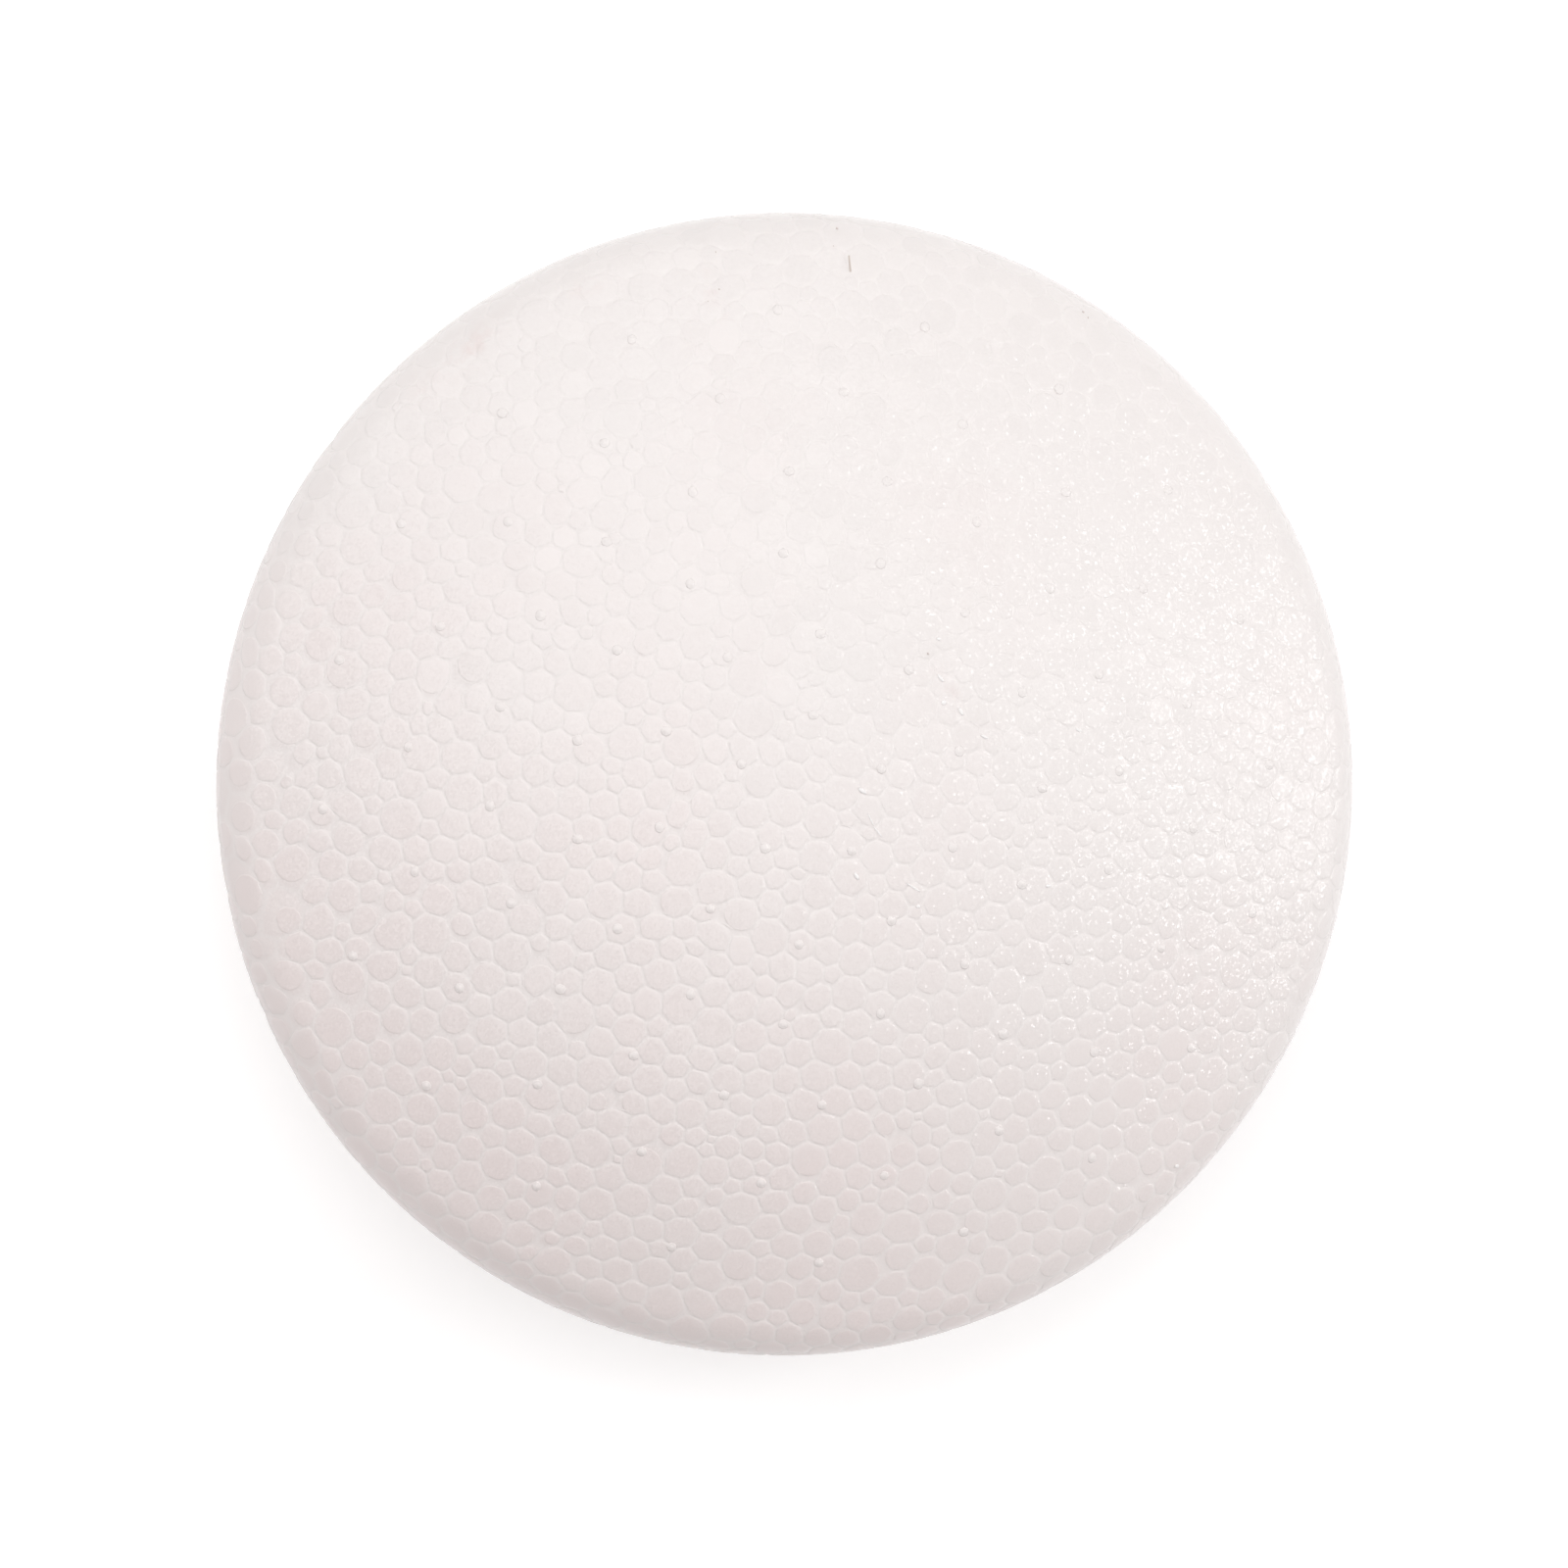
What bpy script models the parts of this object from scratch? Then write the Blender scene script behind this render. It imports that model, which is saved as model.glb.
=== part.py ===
"""A foam medallion: a craft blank moulded in one piece from expanded polystyrene beads.

The solid is a lens. Two equal spherical domes meet in a rounded rim, and a flat as wide as one bead
takes the top of each dome, so the medallion can lie on a table or be glued down. Rings of low nubs
stand on both domes, where foam was pressed into the steam vents of the mould. Lengths are in metres,
+Z is up, and the medallion lies on its lower dome with the origin under its centre.
"""

import math

import bmesh
import bpy
from mathutils import Matrix, Vector

# Outline
DIAMETER = 0.100
THICKNESS = 0.034
RIM_RADIUS = 0.006
CROWN_FLAT_DIAMETER = 0.003

# Steam vent nubs
NUB_BASE_DIAMETER = 0.0008
NUB_TIP_DIAMETER = 0.0006
NUB_HEIGHT = 0.00016
NUB_ROOT_DEPTH = 0.0004

# Rings of nubs, counted from the rim inwards
VENT_RIM_INSET = 0.0086
VENT_RING_SPACING = 0.007
VENT_PITCH = 0.0086
MOST_VENTS_IN_A_RING = 20
RING_PHASES_DEG = (2.5, -6.0, 3.0, 0.0, 14.0, 16.0)

# Facets
TURN_SEGMENTS = 72
DOME_SPANS = 12
RIM_SPANS = 10
NUB_SIDES = 6

# Finish
FOAM_SRGB = (0.945, 0.925, 0.915)
FOAM_ROUGHNESS = 0.6

HALF_THICKNESS = THICKNESS / 2
RIM_CENTRE_RADIUS = DIAMETER / 2 - RIM_RADIUS
CROWN_FLAT_RADIUS = CROWN_FLAT_DIAMETER / 2


def dome_radius():
    """Radius of the sphere through the crown flat's edge that runs smoothly into the rim's arc."""
    spread = RIM_CENTRE_RADIUS**2 + HALF_THICKNESS**2 - CROWN_FLAT_RADIUS**2 - RIM_RADIUS**2
    depth = HALF_THICKNESS**2 - RIM_RADIUS**2
    chord = spread**2 + (2 * HALF_THICKNESS * CROWN_FLAT_RADIUS) ** 2
    return (spread * RIM_RADIUS + math.sqrt((spread * RIM_RADIUS) ** 2 + depth * chord)) / (2 * depth)


DOME_RADIUS = dome_radius()
# Height of the dome's centre from the middle plane: it lies below, on the far side of the lens
DOME_CENTRE_HEIGHT = HALF_THICKNESS - math.sqrt(DOME_RADIUS**2 - CROWN_FLAT_RADIUS**2)
# Angles from the vertical at the dome's centre: where the dome leaves the flat and meets the rim
FLAT_ANGLE = math.asin(CROWN_FLAT_RADIUS / DOME_RADIUS)
RIM_ANGLE = math.atan2(RIM_CENTRE_RADIUS, -DOME_CENTRE_HEIGHT)


def arc(centre, radius, start, end, spans):
    """Points (distance from the axis, height) along an arc, with angles taken from the vertical."""
    for i in range(spans + 1):
        angle = start + (end - start) * i / spans
        yield centre[0] + radius * math.sin(angle), centre[1] + radius * math.cos(angle)


def half_section():
    """The section's outline from the upper flat's edge, round the rim, to the lower flat's edge."""
    upper = list(arc((0, DOME_CENTRE_HEIGHT), DOME_RADIUS, FLAT_ANGLE, RIM_ANGLE, DOME_SPANS))
    rim = list(arc((RIM_CENTRE_RADIUS, 0), RIM_RADIUS, RIM_ANGLE, math.pi - RIM_ANGLE, RIM_SPANS))
    lower = [(distance, -height) for distance, height in reversed(upper)]
    return upper + rim[1:-1] + lower


def lens_mesh():
    """The plain lens, turned about Z with its middle plane at height 0."""
    bm = bmesh.new()
    outline = [bm.verts.new((distance, 0, height)) for distance, height in half_section()]
    edges = [bm.edges.new(pair) for pair in zip(outline, outline[1:])]
    bmesh.ops.spin(
        bm,
        geom=outline + edges,
        cent=(0, 0, 0),
        axis=(0, 0, 1),
        angle=math.tau,
        steps=TURN_SEGMENTS,
        use_merge=True,
    )
    bmesh.ops.holes_fill(bm, edges=[edge for edge in bm.edges if edge.is_boundary], sides=0)
    bmesh.ops.recalc_face_normals(bm, faces=bm.faces)
    mesh = bpy.data.meshes.new("foam_body")
    bm.to_mesh(mesh)
    bm.free()
    mesh.shade_smooth()
    return mesh


def upper_surface(distance):
    """Height and slope angle of the upper surface at a distance from the axis."""
    if distance <= CROWN_FLAT_RADIUS:
        return HALF_THICKNESS, 0.0
    angle = math.asin(distance / DOME_RADIUS)
    if angle <= RIM_ANGLE:
        return DOME_CENTRE_HEIGHT + DOME_RADIUS * math.cos(angle), angle
    angle = math.asin((distance - RIM_CENTRE_RADIUS) / RIM_RADIUS)
    return RIM_RADIUS * math.cos(angle), angle


def vent_rings():
    """Distance from the axis and bearings of the nubs in each ring, from the rim inwards."""
    rings = []
    distance = DIAMETER / 2 - VENT_RIM_INSET
    while distance > VENT_RING_SPACING / 2:
        count = min(MOST_VENTS_IN_A_RING, round(math.tau * distance / VENT_PITCH))
        phase = math.radians(RING_PHASES_DEG[len(rings) % len(RING_PHASES_DEG)])
        rings.append((distance, [phase + math.tau * i / count for i in range(count)]))
        distance -= VENT_RING_SPACING
    return rings


def nub_frame(distance, bearing, side):
    """Matrix that sets a nub on the upper (side 1) or lower (side -1) surface, standing square to it."""
    height, slope = upper_surface(distance)
    outward = Vector((math.cos(bearing), math.sin(bearing), 0))
    normal = outward * math.sin(slope) + Vector((0, 0, side * math.cos(slope)))
    foot = outward * distance + Vector((0, 0, side * height))
    return Matrix.Translation(foot) @ normal.to_track_quat("Z", "Y").to_matrix().to_4x4()


def nub_mesh():
    """All vent nubs of both faces: tapered studs whose roots run into the foam."""
    bm = bmesh.new()
    middle = Matrix.Translation((0, 0, (NUB_HEIGHT - NUB_ROOT_DEPTH) / 2))
    for side in (1, -1):
        for distance, bearings in vent_rings():
            for bearing in bearings:
                bmesh.ops.create_cone(
                    bm,
                    cap_ends=True,
                    segments=NUB_SIDES,
                    radius1=NUB_BASE_DIAMETER / 2,
                    radius2=NUB_TIP_DIAMETER / 2,
                    depth=NUB_HEIGHT + NUB_ROOT_DEPTH,
                    matrix=nub_frame(distance, bearing, side) @ middle,
                )
    mesh = bpy.data.meshes.new("vent_nubs")
    bm.to_mesh(mesh)
    bm.free()
    return mesh


def linear(value):
    """One sRGB channel as scene-linear light."""
    return value / 12.92 if value <= 0.04045 else ((value + 0.055) / 1.055) ** 2.4


def foam_material():
    material = bpy.data.materials.new("expanded_polystyrene")
    material.use_nodes = True
    shader = material.node_tree.nodes["Principled BSDF"]
    shader.inputs["Base Color"].default_value = (*map(linear, FOAM_SRGB), 1.0)
    shader.inputs["Roughness"].default_value = FOAM_ROUGHNESS
    shader.inputs["Metallic"].default_value = 0.0
    return material


def add_object(name, mesh):
    thing = bpy.data.objects.new(name, mesh)
    thing.location.z = HALF_THICKNESS
    bpy.context.collection.objects.link(thing)
    return thing


def main():
    for old in list(bpy.data.objects):
        bpy.data.objects.remove(old, do_unlink=True)

    body = add_object("foam_body", lens_mesh())
    body.data.materials.append(foam_material())

    nubs = add_object("vent_nubs", nub_mesh())
    nubs.hide_render = True
    nubs.display_type = "WIRE"

    join = body.modifiers.new("vent_nubs", "BOOLEAN")
    join.operation = "UNION"
    join.object = nubs


main()
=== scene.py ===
"""The looks of the foam medallion: its skin of fused beads, its vent nubs, the dirt on it, and a studio.

The skin and the nubs stand for the plain moulded body. Lengths are in metres.
"""

import math

import bpy
import numpy as np
from bpy.props import FloatProperty, FloatVectorProperty, IntProperty, PointerProperty
from mathutils import Matrix, Vector
from mathutils.geometry import intersect_line_sphere


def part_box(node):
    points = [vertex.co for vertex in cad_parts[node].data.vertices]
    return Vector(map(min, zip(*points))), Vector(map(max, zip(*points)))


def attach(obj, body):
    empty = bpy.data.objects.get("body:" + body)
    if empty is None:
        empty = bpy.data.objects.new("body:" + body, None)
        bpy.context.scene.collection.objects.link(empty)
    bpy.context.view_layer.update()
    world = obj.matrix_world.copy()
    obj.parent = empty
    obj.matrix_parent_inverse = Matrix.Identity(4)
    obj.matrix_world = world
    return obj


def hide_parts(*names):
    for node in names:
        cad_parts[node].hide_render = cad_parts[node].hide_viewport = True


bl_info = {
    "name": "Foam Medallion",
    "version": (1, 0, 0),
    "blender": (4, 5, 0),
    "location": "3D View > Sidebar > Foam",
    "description": "Dresses a moulded foam medallion: beads, vent nubs, dirt and a studio",
    "category": "Object",
}

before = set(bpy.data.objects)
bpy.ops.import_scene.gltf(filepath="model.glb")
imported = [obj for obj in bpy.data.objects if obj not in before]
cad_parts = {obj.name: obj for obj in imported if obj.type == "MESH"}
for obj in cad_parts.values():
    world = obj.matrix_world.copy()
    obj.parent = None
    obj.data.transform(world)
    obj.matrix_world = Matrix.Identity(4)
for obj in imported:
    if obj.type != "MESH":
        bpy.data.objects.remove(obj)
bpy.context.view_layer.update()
BODY = "foam_body"
LOWEST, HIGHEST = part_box(BODY)

# The body's own sizes. Its rim radius and crown flat can't be read off its box.
DISC_RADIUS = (HIGHEST.x - LOWEST.x) / 2
HALF_THICKNESS = (HIGHEST.z - LOWEST.z) / 2
MIDDLE_HEIGHT = (HIGHEST.z + LOWEST.z) / 2
RIM_RADIUS = 0.006
CROWN_FLAT_RADIUS = 0.0015
RIM_CENTRE_RADIUS = DISC_RADIUS - RIM_RADIUS

# Bearing of the first nub in each ring, from the outermost ring inwards, as the photograph shows them
RING_PHASES_DEG = (2.5, -6.0, 3.0, 0.0, 14.0, 16.0)

# The photograph's frame, and what lies on the upper dome there, in pixels
PHOTO_SIDE = 1600
PHOTO_DISC_DIAMETER = 1167
# Grit: column, row, width
GRIT = (
    (854, 233, 3.2),
    (850.5, 251, 1.4),
    (730.5, 257, 1.6),
    (734, 295, 1.7),
    (722.5, 307.5, 1.6),
    (1105.4, 318.4, 3.0),
    (1110.4, 324, 1.6),
    (947, 667, 3.0),
)
# Torn slivers of skin: column, row, length, width, angle in degrees from the picture's right
SLIVERS = (
    (958, 652, 5, 3.5, 0),
    (960, 692, 10, 4, -50),
    (963, 717, 6, 5, 20),
    (980.5, 726, 9, 4, -65),
    (1005, 752, 9, 3, -25),
    (1101, 745, 8, 3, -20),
    (932, 905.5, 18, 2, -32),
    (937, 925, 5, 3.5, 0),
    (880, 807, 10, 4.5, -35),
    (874, 894, 9, 4, -60),
    (888.5, 836, 14, 1.5, -65),
    (896, 849, 15, 1.5, -50),
    (1070, 904, 6, 4, 10),
    (1201, 1190, 5, 4.5, 0),
)
# The fibre: columns and rows along it, and its width
FIBRE = ((866.3, 261), (866.8, 267), (867.3, 272), (867.8, 277))
FIBRE_WIDTH = 1.7
# Stains: column, row, half length, half width, angle in degrees, strength
STAINS = (
    (482, 354, 32, 12, 45, 0.5),
    (441, 388, 22, 8, 38, 0.3),
    (600, 292, 18, 8, 20, 0.3),
    (720, 280, 5, 8, 0, 0.2),
    (727, 299, 9, 11, 0, 0.3),
    (741, 324, 6, 4, 10, 0.25),
    (967, 700, 20, 6, -45, 0.35),
    (1273, 940, 8, 3.5, -5, 1.0),
)


def linear_colour(code):
    """An sRGB hex code, such as F0E8E6, as a scene-linear colour with alpha."""
    channels = [int(code[i : i + 2], 16) / 255 for i in (0, 2, 4)]
    return (*(c / 12.92 if c <= 0.04045 else ((c + 0.055) / 1.055) ** 2.4 for c in channels), 1.0)


def colour_setting(name, description, code):
    """A colour that the user can change."""
    colour = linear_colour(code)
    return FloatVectorProperty(
        name=name, description=description, default=colour, size=4, subtype="COLOR", min=0, max=1
    )


def number_setting(name, description, default, **kind):
    """A number that the user can change, never below zero."""
    return FloatProperty(name=name, description=description, default=default, min=0, **kind)


def length_setting(name, description, default):
    return number_setting(name, description, default, unit="LENGTH")


def share_setting(name, description, default):
    return number_setting(name, description, default, max=1, subtype="FACTOR")


def power_setting(name, description, default):
    return number_setting(name, description, default, unit="POWER")


class BeadSettings(bpy.types.PropertyGroup):
    pitch: length_setting("Pitch", "Mean distance from one bead's centre to the next", 0.00258)
    spread: share_setting("Spread", "Spread of the beads' sizes, as a share", 0.16)
    small_share: share_setting("Small beads", "Share of beads that are undersized", 0.04)
    seam_width: length_setting("Seam width", "Width of the rounding on each side of a seam", 0.00016)
    seam_depth: length_setting("Seam depth", "Depth of the groove between two beads", 0.000012)
    pit_depth: length_setting("Pit depth", "Depth of the pits where three beads meet", 0.00003)
    bulge: length_setting("Bulge", "How far a bead's middle stands above its edge", 0.000016)
    roundness: share_setting("Roundness", "0 follows the seams, 1 is a circle", 0.55)
    inset: length_setting("Inset", "How far the beads' tops lie inside the moulded outline", 0.00002)
    seed: IntProperty(name="Seed", description="Seed of the beads' places and sizes", default=11)


class NubSettings(bpy.types.PropertyGroup):
    diameter: length_setting("Diameter", "Width of a nub where it leaves the skin", 0.0008)
    height: length_setting("Height", "How far a nub stands above the skin", 0.00016)
    rim_inset: length_setting("Rim inset", "From the medallion's edge to the outermost ring", 0.0086)
    ring_spacing: length_setting("Ring spacing", "From one ring of nubs to the next", 0.007)
    pitch: length_setting("Pitch", "From one nub to the next in an inner ring", 0.0086)
    most: IntProperty(name="Most in a ring", description="Nubs in the outer rings", default=20)
    seed: IntProperty(name="Seed", description="Seed of the nubs' small differences", default=4)


class FinishSettings(bpy.types.PropertyGroup):
    deep: colour_setting("Deeper bead", "Colour of the deeper-toned beads", "EFEAE8")
    light: colour_setting("Lighter bead", "Colour of the lighter beads", "F2EDEB")
    # Painted light: the seams are drawn paler than the beads, for the bright lines that light grazing them
    # gives
    seam: colour_setting("Seam", "Colour of the fused skin between beads", "F5F0EE")
    # Painted shade: this pink is drawn deeper towards the lower left, where less light falls; the rest is
    # a faint pink tint that drifts at random
    cast: colour_setting("Cast", "Faint pink cast, stronger towards one side", "F0E5E3")
    stain: colour_setting("Stain", "Colour of the faint pink stains", "E8D8D5")
    # Partly painted highlight: the slivers are drawn whiter than the skin, for the glints they show
    film: colour_setting("Torn film", "Colour of the torn slivers of skin", "FCFAF9")
    grit: colour_setting("Grit", "Colour of the grit pressed into the skin", "D8CDC9")
    fibre: colour_setting("Fibre", "Colour of the stray fibre", "D3C8C0")


class StudioSettings(bpy.types.PropertyGroup):
    floor: colour_setting("Floor", "Colour of the floor", "F4F4F4")
    fill: colour_setting("Fill", "Colour of the light from all round", "FDF7F6")
    camera_distance: length_setting("Camera distance", "From the camera to the medallion", 1.0)
    camera_tilt: number_setting("Camera tilt", "Off the vertical", math.radians(7), subtype="ANGLE")
    camera_bearing: number_setting(
        "Camera bearing", "Which way it leans", math.radians(168.5), subtype="ANGLE"
    )
    overhead_power: power_setting("Overhead power", "The top softbox", 3.6)
    key_power: power_setting("Key power", "The softbox at the upper left", 4.15)
    side_power: power_setting("Side power", "The low softbox at the right", 1.9)
    spark_power: power_setting("Spark power", "The small lamp for glints", 0.8)
    ambient: number_setting("Ambient", "Strength of the light from all round", 0.285)
    floor_glow: number_setting("Floor glow", "Extra light of the floor that only the camera sees", 0.36)


def add_node(tree, kind, inputs=None, **settings):
    """Adds a node. An input, keyed by name or index, is a value, an output, or a node's first output."""
    node = tree.nodes.new(kind)
    for name, value in settings.items():
        setattr(node, name, value)
    for key, value in (inputs or {}).items():
        if isinstance(value, bpy.types.Node):
            value = value.outputs[0]
        if isinstance(value, bpy.types.NodeSocket):
            tree.links.new(value, node.inputs[key])
        else:
            node.inputs[key].default_value = value
    return node


# The lens


def dome_radius():
    """Radius of the sphere through the crown flat's edge that runs smoothly into the rim's arc."""
    spread = RIM_CENTRE_RADIUS**2 + HALF_THICKNESS**2 - CROWN_FLAT_RADIUS**2 - RIM_RADIUS**2
    depth = HALF_THICKNESS**2 - RIM_RADIUS**2
    chord = spread**2 + (2 * HALF_THICKNESS * CROWN_FLAT_RADIUS) ** 2
    return (spread * RIM_RADIUS + math.sqrt((spread * RIM_RADIUS) ** 2 + depth * chord)) / (2 * depth)


DOME_RADIUS = dome_radius()
# Height of the upper dome's centre above the middle plane, so it is negative
DOME_CENTRE_HEIGHT = HALF_THICKNESS - math.sqrt(DOME_RADIUS**2 - CROWN_FLAT_RADIUS**2)
# Angle from the vertical, at the dome's centre, where the dome meets the rim
RIM_ANGLE = math.atan2(RIM_CENTRE_RADIUS, -DOME_CENTRE_HEIGHT)


def onto_lens(points):
    """The nearest points of the lens and the normals there. Heights are from its middle plane."""
    distance = np.maximum(np.hypot(points[:, 0], points[:, 1]), 1e-9)
    side = np.where(points[:, 2] < 0, -1.0, 1.0)
    centres = np.zeros_like(points)
    centres[:, 2] = side * DOME_CENTRE_HEIGHT
    on_rim = distance > math.tan(RIM_ANGLE) * np.abs(points[:, 2] - centres[:, 2])
    rim_centres = points * np.array([1, 1, 0]) / distance[:, None] * RIM_CENTRE_RADIUS
    centres[on_rim] = rim_centres[on_rim]
    radii = np.where(on_rim, RIM_RADIUS, DOME_RADIUS)[:, None]
    normals = points - centres
    normals /= np.linalg.norm(normals, axis=1)[:, None]
    return centres + normals * radii, normals


def onto_sphere(points):
    """Carries points of the lens to a unit sphere so that small shapes keep their angles."""
    distance = np.hypot(points[:, 0], points[:, 1])
    bearing = np.arctan2(points[:, 1], points[:, 0])
    height = np.abs(points[:, 2])
    ratio = RIM_CENTRE_RADIUS / RIM_RADIUS
    scale = 2 / math.sqrt(ratio**2 - 1)
    squeeze = math.sqrt((ratio - 1) / (ratio + 1))
    rise = np.arctan2(height, distance - RIM_CENTRE_RADIUS)
    along_rim = scale * np.arctan(squeeze * np.tan(np.minimum(rise, math.pi / 2 - RIM_ANGLE) / 2))
    from_axis = np.arctan2(distance, height - DOME_CENTRE_HEIGHT)
    up_dome = np.log(math.tan(RIM_ANGLE / 2) / np.tan(np.clip(from_axis, 1e-6, RIM_ANGLE) / 2))
    polar = 2 * np.arctan(np.exp(-(along_rim + up_dome)))
    side = np.where(points[:, 2] < 0, -1.0, 1.0)
    return np.column_stack(
        (np.sin(polar) * np.cos(bearing), np.sin(polar) * np.sin(bearing), side * np.cos(polar))
    )


def lens_area():
    """Area of the whole skin: two sphere caps and the band of the rim."""
    caps = 4 * math.pi * DOME_RADIUS**2 * (1 - math.cos(RIM_ANGLE))
    half_band = math.pi / 2 - RIM_ANGLE
    band = 4 * math.pi * RIM_RADIUS * (RIM_CENTRE_RADIUS * half_band + RIM_RADIUS * math.sin(half_band))
    return caps + band


def lens_height(distance):
    """Height of the upper surface above the middle plane, at distances from the axis."""
    on_dome = DOME_CENTRE_HEIGHT + np.sqrt(DOME_RADIUS**2 - distance**2)
    on_rim = np.sqrt(np.maximum(RIM_RADIUS**2 - np.maximum(distance - RIM_CENTRE_RADIUS, 0) ** 2, 0))
    return np.where(distance < DOME_RADIUS * math.sin(RIM_ANGLE), on_dome, on_rim)


def scatter_on_lens(count, rng):
    """Evenly spread random points on the lens."""
    tries = 4 * count
    bearing = rng.uniform(0, math.tau, tries)
    distance = DISC_RADIUS * np.sqrt(rng.uniform(0, 1, tries))
    height = rng.choice([-1.0, 1.0], tries) * lens_height(distance)
    spots = np.column_stack((distance * np.cos(bearing), distance * np.sin(bearing), height))
    places, normals = onto_lens(spots)
    # The spots are even in plan, so a slope keeps a larger share of them, and a steep one keeps them all
    level_share = 0.5
    share = level_share / np.maximum(np.abs(normals[:, 2]), level_share)
    return places[rng.uniform(0, 1, tries) < share][:count]


def pack_beads(beads):
    """Places, radii and tones of the beads: mixed circles that push each other apart on the lens."""
    rounds, rounds_per_search = 64, 8
    # Share of the lens that the circles cover, and how far apart they are pushed, where 1 is touching
    packed_share, spacing = 0.88, 1.04
    # Share of an overlap by which each of two beads gives way in a round, and how many pitches away
    # a bead counts as a neighbour
    yield_share, neighbour_reach = 0.35, 1.6
    # Smallest and largest radius, as shares of the mean
    usual, undersized = (0.65, 1.35), (0.38, 0.6)
    rng = np.random.default_rng(beads.seed)
    count = round(lens_area() / (math.sqrt(0.75) * beads.pitch**2))
    radii = np.clip(rng.normal(1, beads.spread, count), *usual)
    small = rng.uniform(0, 1, count) < beads.small_share
    radii[small] = rng.uniform(*undersized, small.sum())
    radii *= math.sqrt(packed_share * lens_area() / (math.pi * np.sum(radii**2)))
    places = scatter_on_lens(count, rng)
    for turn in range(rounds):
        if turn % rounds_per_search == 0:
            square = np.sum(places**2, axis=1)
            apart = square[:, None] + square[None, :] - 2 * places @ places.T
            first, second = np.nonzero(np.triu(apart < (neighbour_reach * beads.pitch) ** 2, 1))
        step = places[first] - places[second]
        gap = np.linalg.norm(step, axis=1)
        push = np.maximum(spacing * (radii[first] + radii[second]) - gap, 0) / np.maximum(gap, 1e-9)
        shift = yield_share * step * push[:, None]
        move = np.column_stack([
            np.bincount(first, shift[:, axis], count) - np.bincount(second, shift[:, axis], count)
            for axis in range(3)
        ])
        places, _ = onto_lens(places + move)
    return places, radii, rng.uniform(-1, 1, count)


def seen_at(column, row):
    """Place on the upper dome that a pixel of the photograph shows, and the outward normal there."""
    holder = bpy.context.scene.camera
    camera = holder.data
    pixel = camera.sensor_width / camera.lens / PHOTO_SIDE
    across = (column - PHOTO_SIDE / 2 + camera.shift_x * PHOTO_SIDE) * pixel
    up = (PHOTO_SIDE / 2 - row + camera.shift_y * PHOTO_SIDE) * pixel
    start = holder.matrix_world.translation
    end = holder.matrix_world @ Vector((across, up, -1))
    centre = Vector((0, 0, MIDDLE_HEIGHT + DOME_CENTRE_HEIGHT))
    hits = intersect_line_sphere(start, end, centre, DOME_RADIUS, False)
    place = max(hits, key=lambda hit: hit.z)
    return place, (place - centre).normalized()


def photo_length(pixels):
    """A length on the medallion, from pixels of the photograph."""
    return pixels * 2 * DISC_RADIUS / PHOTO_DISC_DIAMETER


# Geometry nodes


def new_tree(name, inputs):
    """An empty geometry node tree with a geometry input and output and these named inputs."""
    tree = bpy.data.node_groups.new(name, "GeometryNodeTree")
    tree.is_modifier = True
    tree.interface.new_socket("Geometry", in_out="OUTPUT", socket_type="NodeSocketGeometry")
    tree.interface.new_socket("Geometry", in_out="INPUT", socket_type="NodeSocketGeometry")
    for label, kind in inputs.items():
        tree.interface.new_socket(label, in_out="INPUT", socket_type=kind)
    return tree, tree.nodes.new("NodeGroupInput").outputs


def close_tree(tree, geometry, material):
    """Ends a tree in Realize Instances and Set Material."""
    real = add_node(tree, "GeometryNodeRealizeInstances", {"Geometry": geometry})
    dressed = add_node(tree, "GeometryNodeSetMaterial", {"Geometry": real, "Material": material})
    add_node(tree, "NodeGroupOutput", {0: dressed})


def grown(name, seed_mesh, tree, values):
    """Runs a tree on a mesh and returns the result as a plain object that rides on the body."""
    grower = bpy.data.objects.new(name, seed_mesh)
    bpy.context.scene.collection.objects.link(grower)
    modifier = grower.modifiers.new(name, "NODES")
    modifier.node_group = tree
    for item in tree.interface.items_tree:
        if item.item_type == "SOCKET" and item.name in values:
            modifier[item.identifier] = values[item.name]
    graph = bpy.context.evaluated_depsgraph_get()
    mesh = bpy.data.meshes.new_from_object(grower.evaluated_get(graph))
    bpy.data.objects.remove(grower)
    piece = bpy.data.objects.new(name, mesh)
    bpy.context.scene.collection.objects.link(piece)
    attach(piece, "root")
    return piece


def points_mesh(name, places, edges=(), **attributes):
    """A mesh of loose points with float or vector attributes, joined by edges if any are given."""
    mesh = bpy.data.meshes.new(name)
    mesh.from_pydata([tuple(place) for place in places], edges, [])
    for label, values in attributes.items():
        values = np.asarray(values, float)
        kind, key = ("FLOAT_VECTOR", "vector") if values.ndim == 2 else ("FLOAT", "value")
        mesh.attributes.new(label, kind, "POINT").data.foreach_set(key, values.ravel())
    return mesh


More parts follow.
